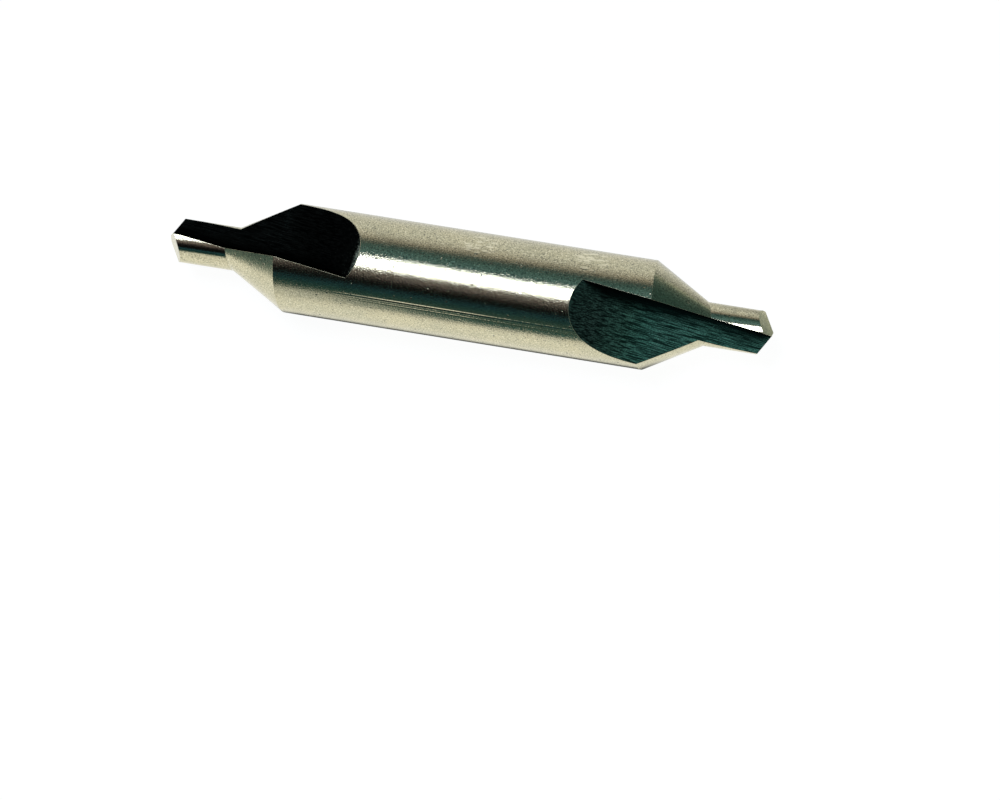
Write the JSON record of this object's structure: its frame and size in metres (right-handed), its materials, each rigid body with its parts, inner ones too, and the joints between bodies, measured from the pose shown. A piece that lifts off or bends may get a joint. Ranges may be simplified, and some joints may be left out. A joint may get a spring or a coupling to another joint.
{
  "type": "centre drill",
  "caption": "Double-ended centre drill: a plain round ground-steel body with a straight-fluted pilot and a relieved countersink at each end, for starting holes and lathe centres.",
  "frame": {"origin": "middle of the body, on its axis, halfway between the points", "axes": "+X along the axis to the right-hand point, +Z the way that the rake face of the right-hand end's upper land faces away from the axis, +Y across"},
  "size_m": [0.056, 0.01, 0.01],
  "materials": {
    "ground_steel": "bright cylindrically ground high-speed steel, with darker wheel-cut flutes"
  },
  "bodies": {
    "root": {"centre_drill": "ground_steel"}
  },
  "joints": []
}
